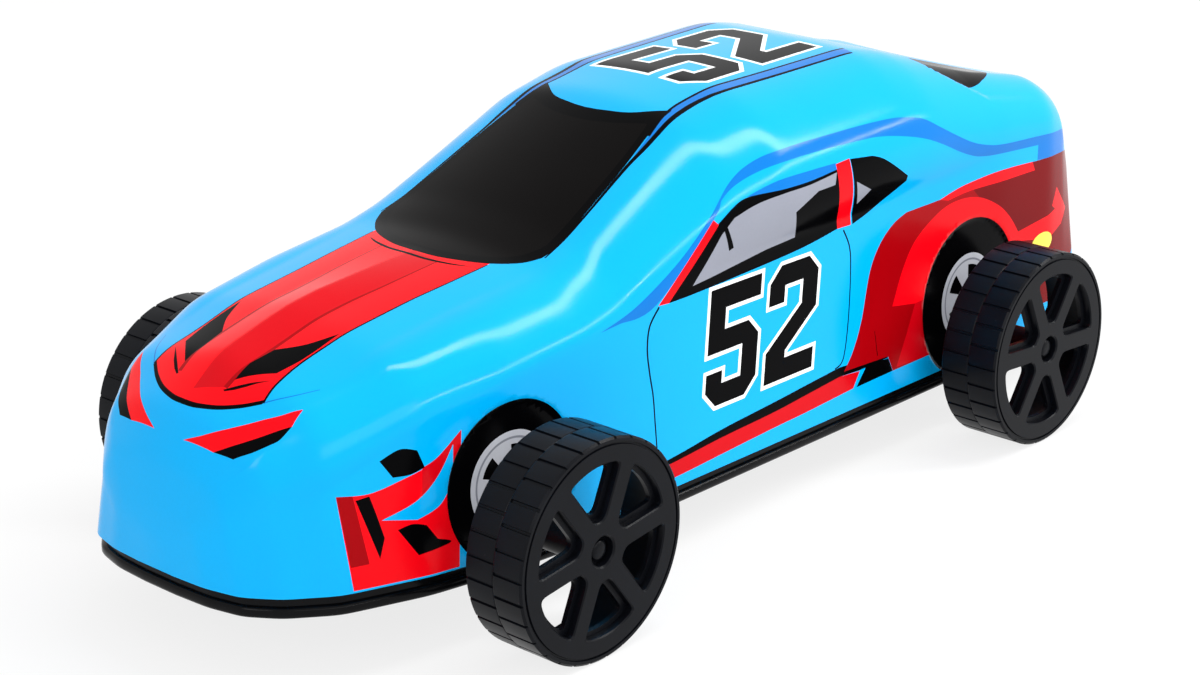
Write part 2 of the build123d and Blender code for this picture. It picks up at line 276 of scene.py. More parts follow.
def surface(u, v):
    """Places on the skin with its reliefs."""
    p = sample(u, v)
    x, y, z = p.T
    for arch_x, arch_z, radius in ARCHES:
        inside = radius - np.hypot(x - arch_x, z - arch_z)
        flank = np.abs(y) > FLANK_Y
        p[:, 1] -= np.sign(y) * ARCH_DEPTH * np.clip(inside / ARCH_WALL, 0, 1) * flank
    above = (v > FLANK + ABOVE) & (v < LAST_V - FLANK - ABOVE)
    foot = np.interp(x, RIDGE_X, RIDGE_FOOT)
    rise = np.interp(x, RIDGE_X, RIDGE_RISE, left=0, right=0)
    p[:, 2] += rise * np.clip(1 - np.abs(y) / foot, 0, 1) * above
    edge = np.interp(x, PANE_X, PANE_Y, right=0) - np.abs(y)
    fade = np.clip((x - PANE_REAR) / PANE_REAR_FADE, 0, 1) * np.clip((PANE_FRONT - x) / PANE_FRONT_FADE, 0, 1)
    p[:, 2] -= PANE_DEPTH * np.clip(edge / PANE_WALL, 0, 1) * fade * above
    return p


def normals(u, v, reach=0.8):
    """Normals of the skin, from its slope to both sides of each place."""
    along = surface(u + reach, v) - surface(u - reach, v)
    across = surface(u, v + reach) - surface(u, v - reach)
    n = np.cross(along, across)
    return n / np.linalg.norm(n, axis=1)[:, None]


middle_up = normals(np.array([LAST_U / 2]), np.array([LAST_V / 2.0]))[0]
print("the roof's normal points", middle_up.round(2))

# %% [markdown]
# The livery is drawn where it was measured on the car: side prints by length and height, top prints by
# length and half-width, all in millimetres. A print could be a thin film laid over the skin, but a film
# needs its own gap and shows at a crease. Here each outline is carried to the skin's own two directions,
# so that it can be cut into the mesh.

# %% From the drawing to the skin
row_of_x = rows[::-1, 0]


def resampled(points, gap=0.8):
    """The line with more points on it, about as far apart as the gap."""
    points = np.asarray(points, float)
    out = []
    for a, b in zip(points[:-1], points[1:]):
        count = max(1, int(np.linalg.norm(b - a) / gap))
        out += [a + (b - a) * k / count for k in range(count)]
    return np.array(out + [points[-1]])


def section_at(x):
    """The row number at a length, and the left half section there."""
    u = LAST_U - np.interp(x, row_of_x, np.arange(LAST_U + 1.0))
    i = int(min(u, LAST_U - 1))
    return u, (1 - (u - i)) * left[i] + (u - i) * left[i + 1]


def on_flank(points, side=1):
    """Length and height on a flank, carried to the skin's two directions."""
    found = []
    for x, z in resampled(points):
        u, half = section_at(x)
        v = np.interp(z, half[:FLANK + SHOULDER, 2], np.arange(FLANK + SHOULDER))
        found.append((u, v if side > 0 else LAST_V - v))
    return np.array(found)


def on_top(points):
    """Length and half-width on the top, carried to the skin's two directions."""
    found = []
    for x, y in resampled(points):
        u, half = section_at(x)
        v = np.interp(-abs(y), -half[FLANK:, 1], np.arange(FLANK, len(half)))
        found.append((u, v if y >= 0 else LAST_V - v))
    return np.array(found)


print("a door corner lies at", on_flank([(48, 31), (48, 32)])[0].round(1))

# %% [markdown]
# A printed edge is a smooth curve, a shut line is a thin band, and a wheel recess is a circle. Curve
# objects could draw them, but plain lists of points can be carried straight to the skin. A print is then
# an ink and an outline, and is laid once, on both sides, or on the top with its mirror image.

# %% Lines, bands and circles
def flow(*points, steps=8):
    """A smooth line through the points."""
    p = np.array([points[0], *points, points[-1]], float)
    out = []
    for k in range(1, len(p) - 2):
        for t in np.arange(steps) / steps:
            a, b, c, d = p[k - 1:k + 3]
            out.append(0.5 * (2 * b + (c - a) * t + (2 * a - 5 * b + 4 * c - d) * t * t
                              + (3 * b - a - 3 * c + d) * t ** 3))
    return [tuple(q) for q in out] + [tuple(points[-1])]


def ribbon(points, widths):
    """A band along a line, as wide at each end and in its middle as the three widths say."""
    p = np.asarray(points, float)
    way = np.gradient(p, axis=0)
    side = np.stack([-way[:, 1], way[:, 0]], 1) / np.linalg.norm(way, axis=1)[:, None]
    half = np.interp(np.linspace(0, 1, len(p)), [0, 0.5, 1], widths)[:, None] / 2
    return [tuple(q) for q in np.concatenate([p + side * half, (p - side * half)[::-1]])]


def circle(x, z, radius, start=0, end=360, count=90):
    turn = np.radians(np.linspace(start, end, count))
    return [(x + radius * math.cos(t), z + radius * math.sin(t)) for t in turn]


prints = []


def lay(ink, outline):
    prints.append((ink, outline))


def lay_top(ink, half):
    """A print that is its own mirror image about the car's middle, from the outline of its left half."""
    lay(ink, on_top([*half, *[(x, -y) for x, y in half[::-1]], half[0]]))


def lay_top_pair(ink, outline):
    lay(ink, on_top([*outline, outline[0]]))
    lay(ink, on_top([(x, -y) for x, y in [*outline, outline[0]]]))


def lay_sides(ink, outline):
    for side in (1, -1):
        lay(ink, on_flank([*outline, outline[0]], side))


print("a smooth line through 3 points has", len(flow((0, 0), (1, 1), (2, 0))), "points")

# %% [markdown]
# The bonnet has a wide red band, black-edged, two pointed vents and a fine line before the screen. Its spine
# is laid darker on its left bevel only, in crimson, as painted shade; the right bevel stays plain red. The
# lamps are red and black wedges that point to the middle of the nose. They could be traced as many small
# steps, but a smooth line through a few measured points follows the print and is easy to adjust.

# %% Bonnet and lamps
def whole(half):
    """A line from the left to the middle, carried on to the right."""
    return [*half, *[(x, -y) for x, y in half[-2::-1]]]


band_side = flow((82, 21.8), (98, 21.0), (110, 20.3), (132, 19.9), (145, 19.4), (153, 20.0), (159.4, 20.9))
band_front = flow((159.4, 20.9), (162.8, 16.1), (165.7, 10.4), (167.3, 4.5), (167.6, 0))
lay_top("red", [(78, 0), (78, 21.8), *band_side, *band_front])
bevel_foot = flow((161, 8.8), (153, 9.4), (144, 9.5), (121, 9.1), (106, 9.9), (89, 10.5))
# Painted shade: the spine's left bevel is laid in darker crimson, and the right bevel keeps the band's red.
lay("crimson", on_top([(88, 0), (121, 0), (164, 0), *bevel_foot, (88, 0)]))
lay_top_pair("wine", ribbon(bevel_foot, (1.4, 0.9, 0.4)))
shut_line = flow((159.4, 21.0), (154.8, 25.6), (148.5, 29.5))
lay_top_pair("azure", ribbon(shut_line, (0.3, 0.3, 0.2)))
lay_top_pair("black", ribbon(band_side, (0.4, 0.5, 0.6)))
front_outer = whole([(x + 0.3, y) for x, y in band_front])
front_inner = whole([(x - 0.8, y) for x, y in band_front])
lay("black", on_top([*front_outer, *front_inner[::-1]]))
lay_top_pair("black", [(158.6, 9.6), (153.0, 9.0), *flow((145.8, 10.0), (139.9, 15.0), (131.9, 18.8)),
                       *flow((139.2, 18.9), (145, 18.6), (151.8, 17.4))])
lay_top_pair("black", [(161.6, 8.6), (157.9, 13.6), (154.3, 18.4), (158.6, 14.0), (160.6, 11.4),
                       (161.8, 9.2)])
cowl_front = flow((90.9, 0), (90.4, 7.0), (88.3, 14.4), (85.6, 19.2))
lay_top("black", [*cowl_front, *flow((87.6, 14.2), (89.4, 7.0), (89.8, 0))])
lamp_top = flow((172.4, 5.6), (170.5, 11.1), (168.1, 15.9), (165.1, 19.9), (161.9, 23.6), (158.7, 27.4),
                (155.1, 30.6))
lamp_split = flow((159.0, 30.8), (161.4, 28.6), (163.7, 26.4), (166.0, 24.1), (168.1, 21.7), (169.9, 18.9),
                  (171.5, 15.8))
lay_top_pair("red", [*lamp_top, *lamp_split])
lay_top_pair("black", [*lamp_split, *flow((170.4, 21.9), (167.5, 26.0), (163.3, 29.3), (161.3, 30.2))])
print("prints so far:", len(prints))

# %% [markdown]
# The windows could be panes of glass, but on this car they are ink. The screen is printed black with a
# slightly paler pane inside its border. Behind it the roof panel is blue, edged by two black lines with a
# stripe of azure between them, and the rear window is black.

# %% Screen, roof and rear window
screen_low = flow((88, 0), (86.9, 9), (82.5, 19.6), (76, 27.2), (70.5, 30.6))
screen_side = flow((66.5, 31.0), (51.2, 29.0), (33.5, 26.9), (21.7, 25.0), (10.3, 23.6))
screen_top = flow((10.3, 23.6), (17, 14.9), (19.4, 6), (20, 0))
stripe_in = flow((22, 25.3), (10.5, 22.9), (4, 22.4), (-7, 22.6), (-30, 23.6), (-67, 24.6))
stripe_out = flow((70, 31.2), (51, 29.4), (34, 27.6), (24.4, 27.2), (6, 25.8), (-3, 26.2), (-10, 27.0),
                  (-34, 27.9), (-66, 28.6))
lay_top_pair("azure", [(30, 26.6), *stripe_in, *[point for point in stripe_out[::-1] if point[0] < 22]])
lay_top_pair("black", ribbon(stripe_in, (0.8, 0.9, 0.8)))
lay_top_pair("black", ribbon(stripe_out, (0.4, 1.8, 0.8)))
lay_top("black", [*screen_low, *screen_side, *screen_top])
pane_low = flow((84.4, 0), (83.2, 9), (79.3, 18), (73.5, 24.8), (68, 27.6))
pane_side = flow((66, 28.0), (51, 26.6), (33.5, 24.6), (21.5, 22.6), (18.6, 21.8))
lay_top("smoke", [*pane_low, *pane_side, *flow((18.6, 21.8), (22.4, 13), (24.2, 5), (24.5, 0))])
rear_side = flow((-90, 26), (-94.1, 33.5), (-97.2, 38.5), (-102.1, 41.6), (-106, 42.6), (-111, 42.2),
                 (-118, 40.2), (-128, 35.5), (-137, 26), (-141, 13), (-142, 0))
lay_top("black", [(-89, 0), *rear_side])
rear_pane = [(x + 2.0 * (x < -115), y - 1.8) for x, y in rear_side if y > 1.9]
lay_top("smoke", [(-91.5, 0), *rear_pane, (-139, 0)])
print("prints so far:", len(prints))

# %% [markdown]
# The sides carry the azure sweep over the windows, the printed windows, the front shut line of the door
# and the stripes of the sill. Outlines could be trimmed against each other, but as on a press the wide
# fields are laid first and the thin lines over them, so nothing needs trimming. The shapes inside the
# window are of this lesson's own drawing.

# %% Side prints
sweep_up = flow((69.5, 71.6), (54.9, 75.2), (38.5, 82.4), (24.3, 91.2), (13, 99.6), (2, 103.5),
                (-10.9, 104.8), (-35.6, 104.9), (-57.1, 104.4), (-66.2, 103.3), (-73.9, 101.5),
                (-81.4, 97.8), (-89.9, 93.6), (-99.1, 89.5), (-108.7, 86.7), (-118.4, 85.2),
                (-139, 83.4), (-160, 81.4))
sweep_low = flow((61.7, 72.2), (47, 73.8), (21.9, 91.4), (16.9, 96.1), (9.5, 99.2), (-3.3, 101.3),
                 (-21.1, 101.7), (-43.4, 101.1), (-53.3, 100.3), (-64, 98.3), (-73.6, 95.7),
                 (-82.1, 92.4), (-91.7, 88.1), (-99.7, 85.1), (-105.6, 83.7), (-114.2, 82.6), (-138.3, 80.5))
lay_sides("azure", [*sweep_up, (-160, 73.4), (-138, 75.7), *sweep_low[::-1]])
lay_sides("azure", [*flow((8.5, 95.2), (-4.4, 97.3), (-19, 97.4), (-30, 97.2)), (-30, 94), (-6.5, 93.5)])
window_top = flow((14.8, 93.1), (8.3, 95.0), (-6.5, 94.6), (-18.4, 94.6), (-30, 95.4))
window_low = flow((-32.4, 77.0), (-15, 75.0), (14.7, 73.6), (34, 73.0))
lay_sides("black", [(42.3, 73.0), (20.8, 90.0), *window_top, *window_low])
sky_line = flow((14.3, 90.6), (5, 92.6), (-6, 93.4), (-18, 93.6), (-29.8, 94.6))
seat_line = [(-28.8, 91.2), (-21, 91.0), (-11, 87.0), (-12.6, 79.0)]
dash_line = flow((0, 78.4), (14, 77.0), (24, 76.0))
lay_sides("grey", [(32.0, 75.4), (19.9, 87.0), *sky_line, *seat_line, *dash_line])
lay_sides("black", ribbon([(18.4, 89.6), (16.2, 82.2)], (1.4, 1.6, 2.0)))
lay_sides("red", [(46.3, 73.3), (21.9, 91.4), (20.4, 89.9), (42.0, 73.0)])
lay_sides("black", [(-36.5, 97.1), *flow((-46.9, 96.0), (-53.1, 93.6), (-64.6, 86.4)), (-64.4, 84.8),
                    *flow((-55.7, 81.5), (-47, 78.6), (-39.6, 76.8))])
lay_sides("grey", [(-39.0, 90.0), (-46.5, 86.0), (-40.5, 82.8)])
lay_sides("red", [(-29.8, 96.9), (-36.2, 97.3), (-38.9, 76.8), (-32.4, 77.0)])
door_front = flow((46.0, 72.9), (50.0, 68.5), (51.2, 62.3), (50.5, 55.5), (49.3, 48.6), (48.7, 40),
                  (48.1, 31))
lay_sides("black", ribbon(door_front, (0.7, 0.6, 0.5)))
sill_top = flow((48.5, 28.4), (36.6, 29.4), (20, 31.1), (-2.3, 32.5), (-17.8, 33.6), (-33.7, 34.7))
sill_mid = flow((52, 27.0), (39.5, 27.5), (20.1, 28.7), (-2.3, 29.5), (-17.8, 30.6), (-33.7, 31.8))
sill_low = flow((52, 22.6), (37.5, 23.0), (20.2, 23.8), (-2.3, 24.8), (-17.8, 25.3), (-40.2, 26.4))
lay_sides("black", [*sill_top, (-57.5, 33.0), (-57.5, 31.4), (-43, 31.2), *sill_mid[::-1]])
lay_sides("crimson", [*sill_mid, (-43.5, 31.0), *sill_low[::-1]])
print("prints so far:", len(prints))

# %% [markdown]
# The rear wing is printed in dark reds, with a bright flare that follows the wheel recess, wide in front
# and narrow behind, a bright line along the top and an arrow to the tail. A blend from dark to bright
# could stand for them, but the print has hard edges, so each red has its own outline. The rear shut line
# of the door runs along it.

# %% Rear wing
wing_front = flow((-35.7, 32.8), (-40.2, 38.3), (-44.2, 46.6), (-48.2, 60.4), (-53.1, 67.7), (-59.7, 72.4),
                  (-66.4, 74.5))
wing_top = flow((-83.5, 74.6), (-94.6, 76.3), (-110.1, 77.0), (-122.3, 76.7), (-137, 75.6), (-155, 74.3),
                (-166, 72.5))
wing_tail = [(-170, 55), (-171, 42), (-150, 27)]
lay_sides("wine", [*wing_front, *wing_top, *wing_tail, (-60, 26.6), (-57.5, 31.8)])
wing_back = [point for point in wing_top if point[0] < -98]
lay_sides("maroon", [*wing_back, *wing_tail, (-120, 27), (-110, 66)])
lay_sides("crimson", [(-71.1, 45.0), (-67.0, 36.6), (-61.8, 27.2), (-78.5, 26.8), (-78, 45)])
bright_top = [point for point in wing_top if point[0] > -137]
lay_sides("red", [*bright_top, *flow((-136.6, 72.7), (-116, 73.4), (-99.3, 74.0), (-87.9, 73.4))])
flare = flow((-59.5, 46.9), (-64.9, 57.6), (-71.6, 65.2), (-83.6, 71.0), (-94.1, 72.4), (-104.8, 70.8),
             (-115.0, 66.2), (-122.0, 60.8), (-127.2, 54.7))
lay_sides("red", [*flare, (-122, 52), *circle(-100.1, 40, 22, 30, 165, 40), (-71.1, 45.0)])
lay_sides("red", [(-123, 52.4), (-125.2, 54.7), (-145.7, 55.9), (-150.9, 56.8), (-148.4, 58.4),
                  (-152.1, 63.7), (-160.8, 54.7), (-156.0, 50.5), (-146.0, 48.2)])
side_lamp = [(-142 + 6.5 * math.cos(t), 47.6 + 3.4 * math.sin(t)) for t in np.linspace(0, 6.1, 30)]
lay_sides("yellow", side_lamp)
lay_sides("black", [(-46.8, 31.8), (-57.7, 31.2), (-59.9, 26.6), (-41.7, 26.3)])
lay_sides("black", ribbon([(-50.7, 41.5), (-52.2, 33.4)], (0.2, 0.4, 0.3)))
door_rear = flow((-35.3, 76.0), (-38.2, 70.4), (-38.8, 63.2), (-37.7, 48.2), (-35.3, 37.0), (-31.3, 34.7))
lay_sides("black", ribbon(door_rear, (0.6, 0.5, 0.5)))
print("prints so far:", len(prints))

# %% [markdown]
# The front wing carries a red panel with plain black, blue and dark red flashes. They are drawn as pairs
# of smooth lines, since a flash is a line that swells and runs out again.

# %% Front wing
panel_top = flow((154.3, 48.9), (146, 48.0), (137, 49.8), (128, 52.6), (119.0, 58.5))
lay_sides("red", [*panel_top, (122.4, 22.9), (153.0, 24.6)])
lay_sides("crimson", [*flow((131.5, 51.6), (126.5, 53.4), (119.0, 58.5)),
                      *flow((120.5, 47.5), (126, 43.0), (132.5, 40.5))])
lay_sides("wine", [(154.3, 48.9), (153.0, 30.6), (148.0, 30.4), (150.2, 48.3)])
lay_sides("black", [*flow((149.6, 47.0), (147.6, 40), (145.0, 31.0)),
                    *flow((143.2, 36), (144.6, 42), (146.0, 47.4))])
lay_sides("black", [*flow((142.5, 55.6), (137, 57.6), (132.5, 56.4)),
                    *flow((130.8, 51.6), (135, 50.6), (139.5, 50.8))])
lay_sides("sky", [*flow((143.5, 40.6), (134, 43.4), (127, 48.5), (121.8, 55.4)),
                  *flow((122.6, 46), (127, 40.8), (134, 38.6))])
lay_sides("black", [*flow((139.5, 37.2), (135.4, 37.8), (131.6, 36.6)),
                    *flow((128.6, 32.2), (124.6, 30.2), (134.5, 29.4))])
print("prints so far:", len(prints))

# %% [markdown]
# The tail has a pair of printed lamps, red in a black border. They could be drawn on the flat of the
# tail, but its sheet leans over so far that half-width and length place them well, as on the top.

# %% Tail lamps
lay_top_pair("black", [(-163.2, 12), (-162.8, 26), (-161.0, 37), (-165.5, 36), (-167.6, 26), (-168.0, 12)])
lay_top_pair("red", [(-164.0, 13.5), (-163.6, 26), (-162.2, 34.5), (-165.0, 34), (-166.8, 26),
                     (-167.2, 13.5)])
print("prints so far:", len(prints))

# %% [markdown]
# The recesses are printed black and hold a printed silver disc with five dark openings, which shows
# behind the real wheel. It could be a second wheel, but on the car it is flat ink, so a few circles and
# arcs are enough.

# %% Wheel recesses
DISC_RINGS = [("silver", 13.8), ("grey", 12.2), ("silver", 11.6)]
DISC_OPENINGS, OPENING_OUT, OPENING_IN, DISC_HOLE = 5, 10.2, 4.4, 1.8
for arch_x, arch_z, radius in ARCHES:
    lay_sides("black", circle(arch_x, arch_z, radius))
    lay_sides("black", circle(arch_x, arch_z, radius - ARCH_WALL))
    for ink, ring in DISC_RINGS:
        lay_sides(ink, circle(arch_x, arch_z, ring))
    for k in range(DISC_OPENINGS):
        middle = (k + 0.5) * 360 / DISC_OPENINGS
        far_arc = circle(arch_x, arch_z, OPENING_OUT, middle - 17, middle + 17, 12)
        near_arc = circle(arch_x, arch_z, OPENING_IN, middle + 16, middle - 16, 6)
        lay_sides("black", [*far_arc, *near_arc])
    lay_sides("black", circle(arch_x, arch_z, DISC_HOLE, 0, 360, 24))
print("prints so far:", len(prints))

# %% [markdown]
# The start number is drawn as plain block figures on a grid. A text object could give them, but it would
# bring its typeface along, and an outline is easily widened for the white edge below it. On the door it
# reads from the side, and on the roof it reads from the car's left.

# %% Start number
FIVE = [(0, 10), (0, 22), (14, 22), (14, 18), (4.4, 18), (4.4, 14), (11, 14), (14, 11), (14, 3), (11, 0),
        (3, 0), (0, 3), (0, 6.4), (4.4, 6.4), (4.4, 4), (9.6, 4), (9.6, 10)]
TWO = [(0, 0), (0, 6), (9.6, 13.4), (9.6, 18), (4.4, 18), (4.4, 14.8), (0, 14.8), (0, 19), (3, 22), (11, 22),
       (14, 19), (14, 12), (5.6, 5.4), (5.6, 4), (14, 4), (14, 0)]
SECOND_FIGURE, WHITE_EDGE = 16.6, 0.75
DOOR_X, DOOR_Z, DOOR_WIDE, DOOR_TALL, DOOR_LEAN, DOOR_HALF = 2.3, 38.6, 1.58, 1.52, 0.12, 26.0
ROOF_X, ROOF_Y, ROOF_WIDE, ROOF_TALL = -5.0, 18.6, 1.86, 1.7


def widened(outline, gap):
    """The outline with every side moved out by the gap."""
    p = np.array(outline, float)
    ahead, behind = np.roll(p, -1, 0) - p, p - np.roll(p, 1, 0)
    outward = [np.stack([w[:, 1], -w[:, 0]], 1) / np.linalg.norm(w, axis=1)[:, None] for w in (ahead, behind)]
    area = np.sum(p[:, 0] * np.roll(p[:, 1], -1) - np.roll(p[:, 0], -1) * p[:, 1])
    corner = (outward[0] + outward[1]) / (1 + np.sum(outward[0] * outward[1], 1))[:, None]
    return [tuple(q) for q in p + np.sign(area) * gap * corner]


def number(place):
    """Both figures, first as a white edge and then in black."""
    for ink, gap in (("white", WHITE_EDGE), ("black", 0)):
        for figure, start in ((FIVE, 0.0), (TWO, SECOND_FIGURE)):
            place(ink, [(x + start, y) for x, y in widened(figure, gap)])


def door_number(side):
    def place(ink, outline):
        lean = [(x + DOOR_LEAN * y, y) for x, y in outline]
        drawn = [(DOOR_X - side * (DOOR_WIDE * x - DOOR_HALF), DOOR_Z + DOOR_TALL * y) for x, y in lean]
        lay(ink, on_flank([*drawn, drawn[0]], side))
    number(place)


def roof_number(ink, outline):
    drawn = [(ROOF_X - ROOF_WIDE * x, ROOF_Y - ROOF_TALL * y) for x, y in outline]
    lay(ink, on_top([*drawn, drawn[0]]))


door_number(1)
door_number(-1)
number(roof_number)
print("prints in all:", len(prints))

# %% [markdown]
# Now the mesh. Knife cuts could trace the prints, but a constrained triangulation does it in one go: it
# takes an even grid of the skin and all outlines, and returns triangles that never cross a print's edge.
# Each triangle then takes the ink of the last print that covers its middle, as a printer lays one colour
# over another.

# %% Cut the prints into the skin
GRID = 2
TOUCHING = 1e-3  # points nearer than this, in steps of the skin, count as one
grid_u, grid_v = [np.arange(0, last + 1, GRID, dtype=float) for last in (LAST_U, LAST_V)]
grid_u[-1], grid_v[-1] = LAST_U, LAST_V
points = [(u, v) for u in grid_u for v in grid_v]
cuts = []
for _, outline in prints:
    moved = [True, *(np.abs(np.diff(outline, axis=0)).max(1) > TOUCHING)]
    loop = [tuple(q) for q, apart in zip(outline, moved) if apart]
    if np.abs(np.subtract(loop[0], loop[-1])).max() < TOUCHING:
        loop.pop()
    first = len(points)
    points += loop
    cuts += [(first + k, first + (k + 1) % len(loop)) for k in range(len(loop))]
cut = delaunay_2d_cdt([Vector(p) for p in points], cuts, [], 0, 1e-5)
flat = np.array([tuple(p) for p in cut[0]])
triangles = np.array([list(t) for t in cut[2]])


def covered(middles, outline):
    """Numbers of the middles that lie inside the outline."""
    box = (middles >= outline.min(0)).all(1) & (middles <= outline.max(0)).all(1)
    near = np.flatnonzero(box)
    x, y = middles[near].T
    odd = np.zeros(len(near), bool)
    for (x0, y0), (x1, y1) in zip(outline, np.roll(outline, -1, 0)):
        if y0 != y1:
            odd ^= ((y0 > y) != (y1 > y)) & (x < (x1 - x0) * (y - y0) / (y1 - y0) + x0)
    return near[odd]


ink_names = list(INKS)
middles = flat[triangles].mean(1)
ink_of = np.zeros(len(triangles), int)
for ink, outline in prints:
    ink_of[covered(middles, outline)] = ink_names.index(ink)
print("triangles of the skin:", len(triangles))

# %% [markdown]
# The sheet has a thickness. A Solidify modifier could give it, but would repeat all the printed triangles
# inside, so a plain inner skin, a little smaller, is joined to the outer one along the lower edge, and
# both ends are closed. The outer normals come from the surface itself and not from its triangles, which
# keeps the long reflections clean.

# %% Close the sheet and make the shell
outer = surface(flat[:, 0], flat[:, 1])
outer_normals = normals(flat[:, 0], flat[:, 1])
first_corner, second_corner, third_corner = [outer[triangles[:, k]] for k in range(3)]
flat_normals = np.cross(second_corner - first_corner, third_corner - first_corner)
facing = np.einsum("ij,ij->i", flat_normals, outer_normals[triangles[:, 0]])
triangles[facing < 0] = triangles[facing < 0][:, ::-1]
WALL = 1.6
INNER_STEP = 12
inner_v = np.array([*range(0, LAST_V, INNER_STEP), LAST_V], float)
mesh_u, mesh_v = [g.ravel() for g in np.meshgrid(grid_u, inner_v, indexing="ij")]
inner = surface(mesh_u, mesh_v) * [1 - WALL / HALF_LENGTH, 1 - WALL / HALF_WIDTH, 1]
inner[:, 2] -= WALL * (np.minimum(mesh_v, LAST_V - mesh_v) > 0)
base = len(outer)
inside = base + np.arange(len(inner)).reshape(len(grid_u), len(inner_v))
at = {(round(u, 3), round(v, 3)): k for k, (u, v) in enumerate(flat)}
faces = [list(t) for t in triangles]
faces += [[inside[i, j], inside[i, j + 1], inside[i + 1, j + 1], inside[i + 1, j]]
          for i in range(len(grid_u) - 1) for j in range(len(inner_v) - 1)]
sill = {j: [at[(round(u, 3), round(v, 3))] for u in grid_u] for j, v in ((0, 0.0), (-1, float(LAST_V)))}
for i in range(len(grid_u) - 1):
    faces.append([sill[0][i], inside[i, 0], inside[i + 1, 0], sill[0][i + 1]])
    faces.append([sill[-1][i + 1], inside[i + 1, -1], inside[i, -1], sill[-1][i]])
ends = []
for i, u in ((0, 0.0), (-1, float(LAST_U))):
    outline = sorted((k for k in range(base) if abs(flat[k, 0] - u) < 1e-6), key=lambda k: flat[k, 1])
    turn = 1 if i == 0 else -1
    lower = [outline[0], outline[-1], inside[i, -1], inside[i, 0]]
    ends += [outline[::turn], list(inside[i])[::-turn], lower[::-turn]]
shell_mesh = bpy.data.meshes.new("shell")
shell_points = (np.concatenate([outer, inner]) * MM).tolist()
shell_mesh.from_pydata(shell_points, [], [list(map(int, f)) for f in faces + ends])
for name in ink_names:
    shell_mesh.materials.append(INKS[name])
slots = np.zeros(len(shell_mesh.polygons), np.int32)
slots[:len(ink_of)] = ink_of
shell_mesh.polygons.foreach_set("material_index", slots)
shell_mesh.polygons.foreach_set("use_smooth", np.ones(len(slots), bool))
shell_mesh.update()
corner_normals = np.zeros((len(shell_mesh.loops), 3))
end_caps = (len(faces), len(faces) + 3)
for polygon in shell_mesh.polygons:
    outside = polygon.index < len(triangles) or polygon.index in end_caps
    for k in polygon.loop_indices:
        vertex = shell_mesh.loops[k].vertex_index
        corner_normals[k] = outer_normals[vertex] if outside and vertex < base else polygon.normal
shell_mesh.normals_split_custom_set(corner_normals.tolist())
shell = bpy.data.objects.new("printed_shell", shell_mesh)
bpy.context.scene.collection.objects.link(shell)
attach(shell, "chassis")
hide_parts("body_shell")
print("shell:", len(shell_mesh.vertices), "vertices,", len(shell_mesh.polygons), "faces")

# %% [markdown]
# The tray is a black sheet whose rolled lip shows below the shell. It could be a curve with a bevel, but
# its line has to stay inside the shell's lower edge all round. So that edge itself is moved in, and a
# short profile swept along it makes the lip, the slot above it and the rim inside the shell. A flat panel
# is sunk into the underside.

# %% Tray's outline and profile
TRAY_STEP, TRAY_SHARP = 3, 50
PANEL_X, PANEL_Y, PANEL_DEPTH, PANEL_WALL = 75.0, 35.0, 0.8, 0.5


def closed_line(inset):
    """The shell's lower edge seen from above, moved in."""
    half = [(x, sill_y) for x, sill_y in rows[::TRAY_STEP, :2]]
    line = np.array(half + [(x, -y) for x, y in half[::-1]])
    way = np.roll(line, -1, 0) - np.roll(line, 1, 0)
    inward = np.stack([-way[:, 1], way[:, 0]], 1) / np.linalg.norm(way, axis=1)[:, None]
    middle = line.mean(0)
    inward *= np.sign(np.einsum("ij,ij->i", inward, middle - line))[:, None]
    return line + inward * inset


# inset from the shell's edge and height over it, from the underside round the lip to the pocket's floor
TRAY_PROFILE = [(4.0, -6.0), (1.7, -6.0), (1.1, -5.7), (0.8, -5.1), (0.8, -3.8), (1.0, -3.3), (1.5, -3.0),
                (2.0, -2.8), (2.0, 3.4), (2.3, 4.0), (3.2, 4.0), (3.5, 3.4), (3.5, -4.2)]
edge = closed_line(0)
height = sill_height(edge[:, 0])
swept = [np.column_stack([closed_line(inset), height + dz]) for inset, dz in TRAY_PROFILE]
tray_points = np.concatenate(swept)
count = len(edge)
tray_faces = []
for k in range(len(TRAY_PROFILE) - 1):
    for i in range(count):
        j = (i + 1) % count
        tray_faces.append([k * count + i, k * count + j, (k + 1) * count + j, (k + 1) * count + i])
floor_top = (len(TRAY_PROFILE) - 1) * count
half_count = count // 2
under = []
for i in range(half_count):
    x, y, z = tray_points[i]
    line = [min(PANEL_Y + wall, abs(y) * share) for wall, share in ((PANEL_WALL, 0.9), (0.0, 0.85))]
    sunk = PANEL_DEPTH * (abs(x) < PANEL_X)
    under += [(x, line[0], z), (x, line[1], z + sunk), (x, -line[1], z + sunk), (x, -line[0], z)]


def under_line(k):
    """The points across the underside at one place, from the left edge to the right."""
    first = len(tray_points) + 4 * k
    return [k, *range(first, first + 4), count - 1 - k]


for i in range(half_count - 1):
    a, b = under_line(i), under_line(i + 1)
    tray_faces += [[a[n], a[n + 1], b[n + 1], b[n]] for n in range(5)]
    tray_faces.append([floor_top + k for k in (i, i + 1, count - 2 - i, count - 1 - i)])
tray_faces += [under_line(0), under_line(half_count - 1)]
print("points of the tray:", len(tray_points) + len(under))

# %% [markdown]
# The points and faces become one mesh. Its bends could be bevelled, but the profile already has them, so
# smooth shading is enough, with the sharp edges of the panel kept sharp.

